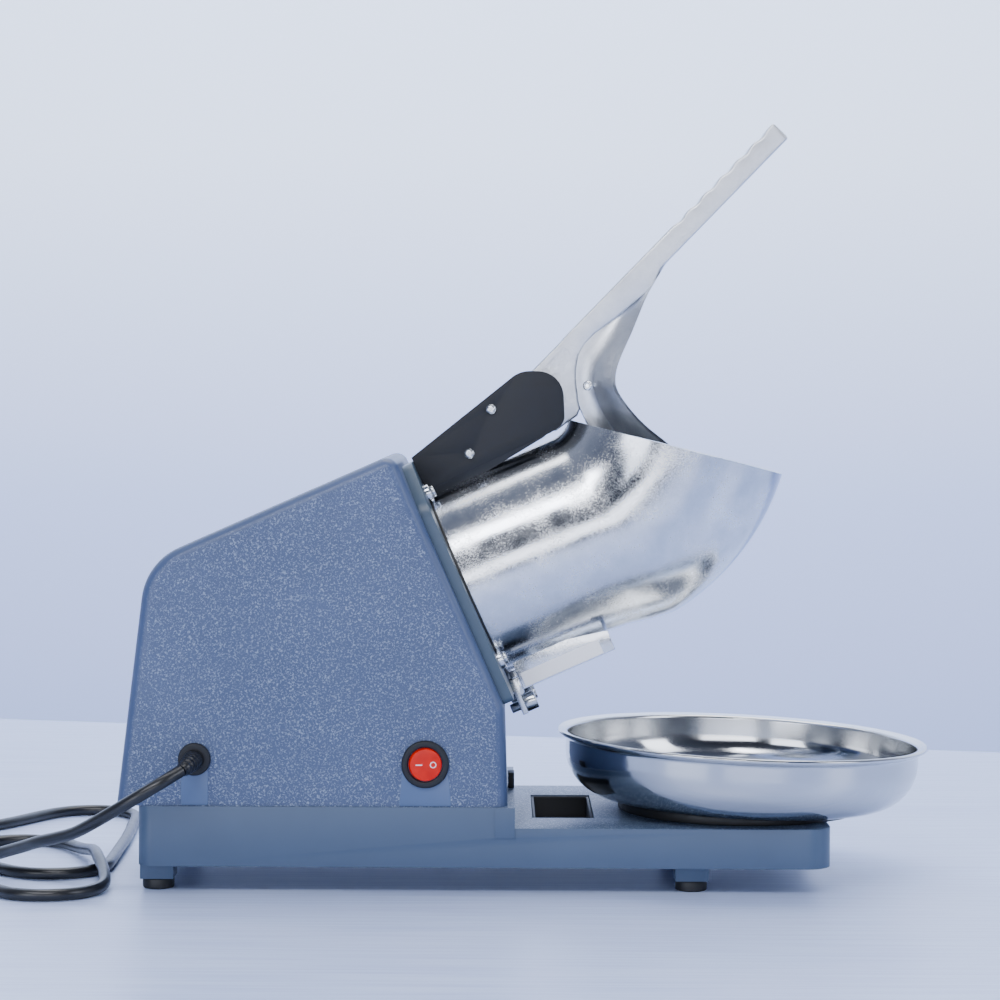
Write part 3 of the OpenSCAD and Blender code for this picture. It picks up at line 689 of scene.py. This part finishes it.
STATIONS = [
    ((82, 93), (74, 79), 17), ((71, 74), (54, 62), 20), ((61, 50), (36, 48), 25),
    ((53, 32), (28, 38), 30), ((50, 21), (25.5, 29), 34), ((51, 12), (25, 19), 38),
    ((58, 1), (26, 10), 43), ((69, -11), (28, 0), 48), ((85, -24), (37, -16), 51),
    ((101, -40), (57, -34), 50), ((115, -56), (82, -52), 44), ((124, -68), (108, -68), 30)]
WEB_HALF = 12
FLARE_POWER = 2.2
FRONT_LIP, FRONT_DEPTH = 2.4, 0.72
GRIP_ANGLE = radians(46)
GRIP_TOP, GRIP_T, GRIP_FROM, GRIP_TO = 20, 14, 44, 240
GRIP_UNDER = [(36, 0.6), (38.6, 1.8), (46.8, 6.3), (59.5, 7.4), (82.1, 4.2), (108.2, 1.65),
              (121, 6), (250, 6)]
TIP_ROUND = 1.6
SCALLOP_PITCH, SCALLOP_DEPTH, SCALLOP_FROM, SCALLOPS = 15, 1.3, 4.5, 6
RECESS_DEPTH = 1.8


def from_pivot(x, z, y=0):
    """A point in millimetres from the lever's pivot."""
    return PIVOT + Vector((x, y, z)) * MM


def on_grip(s, h):
    """Millimetres along the handle and above the line through the pivot, as X and Z from it."""
    return (s * cos(GRIP_ANGLE) - h * sin(GRIP_ANGLE), s * sin(GRIP_ANGLE) + h * cos(GRIP_ANGLE))


def pusher_ring(edge, root, half):
    """A section of the pusher: flared sides from the web to the free edge, and a dished front."""
    edge, root = Vector(edge), Vector(root)
    steps, front = 12, 24
    side = []
    for i in range(steps + 1):
        t = i / steps
        flare = WEB_HALF + (half - WEB_HALF) * t ** FLARE_POWER
        side.append((root + (edge - root) * t, flare))
    ring = [from_pivot(p.x, p.y, -y) for p, y in side]
    inner = half - FRONT_LIP
    for i in range(front + 1):
        y = -inner + 2 * inner * i / front
        depth = FRONT_DEPTH * (1 - (y / inner) ** 2)
        p = edge + (root - edge) * depth
        ring.append(from_pivot(p.x, p.y, y))
    ring += [from_pivot(p.x, p.y, y) for p, y in reversed(side)]
    return ring


def smooth_stations(steps=5):
    """The pusher's stations with smooth ones between them."""
    values = [Vector((*edge, *root)) for edge, root, _ in STATIONS]
    halves = [half for _, _, half in STATIONS]
    last = len(values) - 1
    result = []
    for i in range(last):
        quad = [values[max(0, i - 1)], values[i], values[i + 1], values[min(last, i + 2)]]
        wide = [halves[max(0, i - 1)], halves[i], halves[i + 1], halves[min(last, i + 2)]]
        for t in range(steps):
            v = spline(*quad, t / steps)
            result.append(((v[0], v[1]), (v[2], v[3]), spline(*wide, t / steps)))
    result.append(STATIONS[-1])
    return result


def pusher():
    """The flared paddle that presses the ice down the tube."""
    piece = draped("pusher_casting", [pusher_ring(*station) for station in smooth_stations()], caps=True)
    soften(piece, 0.8, 2, 50)
    finish(piece, "cast_aluminium", "lever", "pusher", material=LINISHED)


def lever():
    """The flat web round the hub, and the handle with finger scallops across its top."""
    roots = [root for _, root, _ in smooth_stations()][:36]
    outline = [on_grip(4, 15), on_grip(12, GRIP_TOP - 0.3), on_grip(132, GRIP_TOP - 0.6),
               on_grip(132, GRIP_TOP - GRIP_T + 0.6), STATIONS[0][0]] + roots + [(26, -5), (12, -15)]
    outline += [(15.5 * cos(radians(a)), 15.5 * sin(radians(a))) for a in range(-70, -200, -12)]
    points = [(PIVOT.x / MM + x, PIVOT.z / MM + z) for x, z in outline]
    web = plate("lever_web", points, -WEB_HALF, WEB_HALF)
    soften(web, 1.4, 3, 50)
    recess = begin("recess_cutter", bpy.ops.mesh.primitive_cube_add, size=1)
    recess.scale = (22 * MM, 2 * (WEB_HALF + 1) * MM, 6.5 * MM)
    settle(recess)
    soften(recess, 2, 3)
    hollow = begin("recess_core", bpy.ops.mesh.primitive_cube_add, size=1)
    hollow.scale = (30 * MM, 2 * (WEB_HALF - RECESS_DEPTH) * MM, 12 * MM)
    settle(hollow)
    cut(recess, hollow)
    x, z = on_grip(30, 12.8)
    recess.matrix_world = Matrix.Translation(from_pivot(x, z)) @ Matrix.Rotation(-GRIP_ANGLE, 4, "Y")
    settle(recess)
    cut(web, recess)
    shade(web)
    finish(web, "cast_aluminium", "lever", "lever", material=LINISHED)
    straight_to = GRIP_TO - TIP_ROUND
    rows = [grip_ring(GRIP_FROM + (straight_to - GRIP_FROM) * i / 150, 0) for i in range(151)]
    rows += [grip_ring(straight_to + TIP_ROUND * sin(radians(a)), TIP_ROUND * (1 - cos(radians(a))))
             for a in (30, 60, 90)]
    grip = draped("lever_grip", rows, caps=True)
    shade(grip, 30)
    finish(grip, "cast_aluminium", "lever", material=LINISHED)


def grip_ring(s, inset):
    """A section of the handle: flat sides, eased edges, and finger scallops across its top."""
    (s0, h0), (s1, h1) = next(pair for pair in zip(GRIP_UNDER, GRIP_UNDER[1:]) if s <= pair[1][0])
    bottom = h0 + (h1 - h0) * (s - s0) / (s1 - s0) + inset
    ease = min(1, max(0, (s - 40) / 90))
    half = WEB_HALF + 0.05 + 4.95 * ease * ease * (3 - 2 * ease) - inset
    along = (GRIP_TO - s - SCALLOP_FROM) / SCALLOP_PITCH
    top = GRIP_TOP - inset
    if 0 < along < SCALLOPS:
        top -= SCALLOP_DEPTH * sin(pi * along) ** 2
    ring = []
    for turn, y, h, r in ((0, 1, 1, 1.8), (90, -1, 1, 1.8), (180, -1, -1, 1.2), (270, 1, -1, 1.2)):
        centre_h = (top if h > 0 else bottom) - h * r
        for step in range(5):
            a = radians(turn + 22.5 * step)
            x, z = on_grip(s, centre_h + r * sin(a))
            ring.append(from_pivot(x, z, y * (half - r) + r * cos(a)))
    return ring


def rivet():
    """The two studs on the flanks of the pusher beside the web."""
    studs = []
    for side in (1, -1):
        stud = lathe("pusher_stud", rounded([(0.01, 0.5), (1.4, 0.5), (1.9, 1.3), (3.1, 1.0), (3.2, -1.5),
                                             (0.01, -1.5)], [0, 0.3, 0.4, 0.5, 0, 0], 4), 40)
        stand(stud, from_pivot(32.6, 14.7, side * 13.7), Vector((-0.4, side * 0.92, 0)))
        studs.append(stud)
    pair = join(studs)
    shade(pair)
    finish(pair, "cast_aluminium", "lever", "pusher_rivets", material=RIVET_STEEL)


pusher()
lever()
rivet()

# ---- housing ---------------------------------------------------------------------------------


def housing():
    """The moulded shell: the side outline drawn out to full width, its long edges rounded by
    10 mm, opened underneath and given a wall."""
    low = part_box("housing")[0]
    back, bottom, half = low[0] / MM, low[2] / MM, -SIDE_Y / MM
    top_front, low_front = on_axis(-95, -7) / MM, on_axis(78, -7) / MM
    points = [(back - 3.4, bottom - 12), (back + 16.2, 208), (top_front.x - 0.8, top_front.z + 1.8),
              (low_front.x, low_front.z), (low_front.x + 2.5, bottom - 12)]
    piece = plate("housing_shell", rounded(points, [0, 40, 8, 12, 0], 14), -half, half)
    modify(piece, "BEVEL", width=10 * MM, segments=6, limit_method="ANGLE", angle_limit=radians(70))

    def open_below():
        bpy.ops.mesh.bisect(plane_co=(0, 0, bottom * MM), plane_no=(0, 0, 1), clear_inner=True)
        bpy.ops.mesh.select_all(action="SELECT")
        outwards()
    edit(piece, open_below)
    modify(piece, "SOLIDIFY", thickness=3 * MM, offset=-1)
    shade(piece, 35)
    finish(piece, "housing_plastic", "machine", "housing")


def side_pad(name, x, z, top_half, bottom_half):
    """A smooth raised panel from a fitting down to the foot of the grained side."""
    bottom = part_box("housing")[0][2] / MM + 0.4
    side = SIDE_Y / MM
    outline = rounded([(x - bottom_half, bottom), (x + bottom_half, bottom), (x + top_half, z),
                       (x - top_half, z)], [1, 1, 0.5, 0.5], 3)
    pad = plate(name, outline, side + 0.4, side - 0.35)
    soften(pad, 0.3, 2)
    finish(pad, "base_plastic", "machine", material=PAD)


PAD = smooth_abs("smooth ABS panel", "52668A", 0.38)
housing()
side_pad("switch_pad", ROCKER.x / MM, ROCKER.z / MM, 14, 16.5)
side_pad("gland_pad", GLAND.x / MM, GLAND.z / MM, 8.5, 8.5)

# ---- dish ------------------------------------------------------------------------------------


DISH_LEAN, DISH_FOOT = 2.2, 47.2


def dish():
    """Spun bowl with a rolled lip, leaning a little on its seat."""
    lip, wall, height, t = 122.5, 116.5, 43, 1.2
    profile = rounded([(0.01, 0), (wall - 1.5, 0), (wall, height - 5), (lip - 0.6, height - 2.6),
                       (lip, height - 1.4), (lip - 1.2, height), (wall - 1.2, height - 1.6),
                       (wall - 1.5 - t, t), (0.01, t)],
                      [0, 30, 2.5, 0.7, 0.7, 1.2, 2.5, 30 - t, 0], 10)
    piece = lathe("dish_bowl", profile, 128)
    shade(piece, 40)
    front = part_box("dish")[1][0]
    lean = radians(DISH_LEAN)
    origin = Vector((front - (lip * cos(lean) + height * sin(lean)) * MM, 0, DISH_FOOT * MM))
    stand(piece, origin, Vector((sin(lean), 0, cos(lean))))
    finish(piece, "stainless", "dish", "dish")


dish()

# ---- switch, gland and fasteners -------------------------------------------------------------


OUTWARDS = Vector((0, -1, 0))
ROCKER_REST = 8


def switch():
    """Round rocker with an index bar and ring in a raised bezel."""
    face = Vector((ROCKER.x, SIDE_Y, ROCKER.z))
    outline = [(10.9, -8), (12, -8), (12, 0.05), (15, 0.05), (15, 3.1), (10.9, 3.1)]
    bezel = lathe("switch_ring", rounded(outline, [0, 0, 0, 0.2, 1.6, 0.9], 6), 72)
    stand(bezel, face, OUTWARDS)
    shade(bezel)
    finish(bezel, "black_plastic", "machine", "switch_bezel")
    rocker = begin("rocker_lens", bpy.ops.mesh.primitive_uv_sphere_add, segments=64, ring_count=40,
                   radius=10.5 * MM)

    def trim():
        bpy.ops.mesh.bisect(plane_co=(0, 0, 3.6 * MM), plane_no=(0, 0, 1), clear_outer=True, use_fill=True)
        bpy.ops.mesh.select_all(action="SELECT")
        bpy.ops.mesh.bisect(plane_co=(0, 0, -4 * MM), plane_no=(0, 0, 1), clear_inner=True, use_fill=True)
        bpy.ops.mesh.select_all(action="SELECT")
        outwards()
    edit(rocker, trim)
    soften(rocker, 0.7, 3, 30)
    swing = Matrix.Rotation(radians(ROCKER_REST), 4, "Z")
    face_out = swing @ OUTWARDS
    stand(rocker, ROCKER, face_out)
    finish(rocker, "red_plastic", "rocker", "switch_rocker")
    bar = begin("on_bar", bpy.ops.mesh.primitive_cube_add, size=1)
    bar.dimensions = (4.2 * MM, 0.7 * MM, 0.16 * MM)
    settle(bar)
    soften(bar, 0.06, 2)
    side = swing @ Vector((1, 0, 0))
    stand_flat(bar, ROCKER + face_out * 3.62 * MM - side * 4.4 * MM, face_out)
    finish(bar, "blank_label", "rocker", material=INK)
    ring = begin("off_ring", bpy.ops.mesh.primitive_torus_add, major_radius=1.75 * MM,
                 minor_radius=0.32 * MM, major_segments=40, minor_segments=10)
    stand_flat(ring, ROCKER + face_out * 3.5 * MM + side * 4.6 * MM, face_out)
    shade(ring, 60)
    finish(ring, "blank_label", "rocker", material=INK)


def stand_flat(piece, origin, out):
    """Lays a flat piece on an upright face that looks along out, its X level."""
    level = Vector((0, 0, 1)).cross(out).normalized() * -1
    up = out.cross(level)
    turn = Matrix((level, up, out)).transposed().to_4x4()
    piece.matrix_world = Matrix.Translation(origin) @ turn
    settle(piece)


def gland():
    """The collar that the cord comes out of."""
    outline = [(3.6, -6), (7, -6), (7, 0.05), (10.3, 0.05), (10.3, 3), (3.6, 3)]
    ring = lathe("gland_ring", rounded(outline, [0, 0, 0, 0.2, 1.4, 0.8], 6), 64)
    stand(ring, GLAND, OUTWARDS)
    shade(ring)
    finish(ring, "black_plastic", "machine", "cord_gland")


def cross_head(name, radius, height, recess=0.55):
    """A pan head with a cross recess, upright round the origin."""
    head = lathe(name, rounded([(0.01, -0.3), (radius, -0.3), (radius, height * 0.45),
                                (radius * 0.62, height), (0.01, height)],
                               [0, 0, radius * 0.3, radius * 0.5, 0], 6), 40)
    for turn in (0, 90):
        cutter = begin("recess_cutter", bpy.ops.mesh.primitive_cube_add, size=1,
                       rotation=(0, 0, radians(turn + 20)))
        cutter.scale = (radius * 1.15 * MM, radius * 0.26 * MM, recess * 2 * height * MM)
        cutter.location = (0, 0, height * MM)
        settle(cutter)
        cut(head, cutter)
    shade(head, 35)
    return head


def cover_screws():
    """The four cross-head screws of the hinge covers, joined as the one node they stand for."""
    heads = []
    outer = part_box("cover_left")[0][1] / MM
    for dx, z in ((-30.5, 305), (-44.5, 276)):
        for side in (1, -1):
            head = cross_head("cover_screw", 3.4, 1.9)
            stand(head, Vector((PIVOT.x / MM + dx, side * outer, z)) * MM, Vector((0, -side, 0)))
            heads.append(head)
    group = join(heads)
    group.name = group.data.name = "cover_screw_heads"
    finish(group, "zinc_steel", "machine", "cover_screws")


switch()
gland()
cover_screws()

REFINED = {
    "base": (1.6, 3), "flange_plate": (0.8, 3), "cover_left": (0.7, 2), "cover_right": (0.7, 2),
    "hinge_bracket": (0.5, 2), "chute_guard": (1.0, 3), "adjuster_block": (0.5, 2),
    "adjuster_screws": (0.5, 2), "flange_screws": (0.6, 2), "drain_well": (0.5, 2),
    "dish_seat": (0.6, 2), "front_tab": (0.6, 2), "top_panel": (0.8, 3), "guard_label": (0.15, 1),
    "foot_rear_left": (1.2, 3), "foot_rear_right": (1.2, 3), "foot_front_left": (1.2, 3),
    "foot_front_right": (1.2, 3), "microswitch": (0.4, 2), "blades": (0.3, 1), "blade_disc": (0.4, 2),
    "pivot_pin": (0.4, 2), "fan": (0.3, 1), "power_board": (0.3, 1),
}
for node, (width, segments) in REFINED.items():
    refine(node, width, segments)

for node, thing in frame["nodes"].items():
    thing.data.materials.clear()
    thing.data.materials.append(MATERIALS[SLOTS[node]])

# ---- floor and light -------------------------------------------------------------------------

TABLE_EDGE = ((-3.2, 1.42), (3.2, -0.02))


def studio():
    """A pale table whose far edge runs a little askew, a backdrop behind it, and soft lights with
    dark gaps between them for the polished metal to reflect."""
    table, tree, shader = begin_material("pale painted table", "CAD6F2", Roughness=0.4)
    grain = add_node(tree, "Mapping", {"Vector": place(tree)})
    grain.inputs["Scale"].default_value = [2, 60, 1]
    streaks = add_node(tree, "TexNoise", {"Vector": grain.outputs[0]}, Scale=4, Detail=6).outputs["Fac"]
    tree.links.new(ramp(tree, streaks, [(0.3, "B4C4F0"), (0.6, "C8D8FC")]), shader.inputs["Base Color"])
    tree.links.new(spread(tree, streaks, 0.25, 0.5), shader.inputs["Roughness"])
    bump(tree, shader, streaks, 0.15, 0.3)
    top = begin("studio_table", bpy.ops.mesh.primitive_plane_add, size=1)
    near = [(-3.2, -3.5), (3.2, -3.5)]
    for vertex, (x, y) in zip(top.data.vertices, near + list(TABLE_EDGE)):
        vertex.co = (x, y, 0)
    settle(top)
    top.data.materials.append(table)
    paper, tree, shader = begin_material("glowing backdrop paper", "D9E2F8", Roughness=0.8)
    height = add_node(tree, "SeparateXYZ", {"Vector": place(tree)}).outputs["Z"]
    level = add_node(tree, "MapRange", {"Value": height}, From_Min=-0.5, From_Max=0.7).outputs["Result"]
    # painted light: the backdrop glows, darker towards the bottom, standing in for how the lamps fall off
    # across it
    tone = ramp(tree, level, [(0.0, "8FA2DA"), (0.55, "ADBEF0"), (1.0, "D6E4FF")])
    tree.links.new(tone, shader.inputs["Base Color"])
    tree.links.new(tone, shader.inputs["Emission Color"])
    shader.inputs["Emission Strength"].default_value = 1.4
    drop = begin("studio_backdrop", bpy.ops.mesh.primitive_plane_add, size=8,
                 location=(0, 2.4, 0.5), rotation=(pi / 2, 0, 0))
    settle(drop)
    drop.data.materials.append(paper)
    world = bpy.context.scene.world or bpy.data.worlds.new("studio")
    bpy.context.scene.world = world
    world.use_nodes = True
    tree = world.node_tree
    background = tree.nodes["Background"]
    way = add_node(tree, "SeparateXYZ", {"Vector": add_node(tree, "TexCoord").outputs["Generated"]})
    behind = add_node(tree, "MapRange", {"Value": way.outputs["Y"]}, From_Min=-0.9, From_Max=0.5)
    tone = ramp(tree, behind.outputs["Result"], [(0.0, "3A3F4E"), (0.45, "707A94"), (1.0, "DCE6FF")])
    tree.links.new(tone, background.inputs["Color"])
    background.inputs["Strength"].default_value = 0.8
    for name, spot, aim, size, power, colour in (
            ("key", (-0.5, -1.35, 1.5), (0, 0, 0.2), (1.5, 0.35), 24, "F6F8FF"),
            ("front", (0.3, -2.6, 0.5), (0, 0, 0.25), (1.8, 0.5), 15, "F2F5FF"),
            ("fill", (1.7, -0.9, 1.0), (0.05, 0, 0.2), (0.7, 1.2), 14, "EEF3FF"),
            ("left", (-1.2, -1.6, 0.35), (0.05, 0, 0.33), (1.0, 0.9), 13, "EEF3FF"),
            ("top", (0.1, 0.35, 1.9), (0, 0, 0.1), (1.8, 0.9), 26, "FFFFFF"),
            ("back", (0, 1.2, 1.9), (0, 2.4, 0.9), (3.0, 0.8), 60, "E8EEFF")):
        bpy.ops.object.light_add(type="AREA", location=spot)
        light = bpy.context.object
        light.name = name + "_light"
        light.data.shape = "RECTANGLE"
        light.data.size, light.data.size_y = size
        light.data.energy = power
        light.data.color = linear(colour)[:3]
        light.rotation_euler = (Vector(aim) - Vector(spot)).to_track_quat("-Z", "Y").to_euler()


studio()
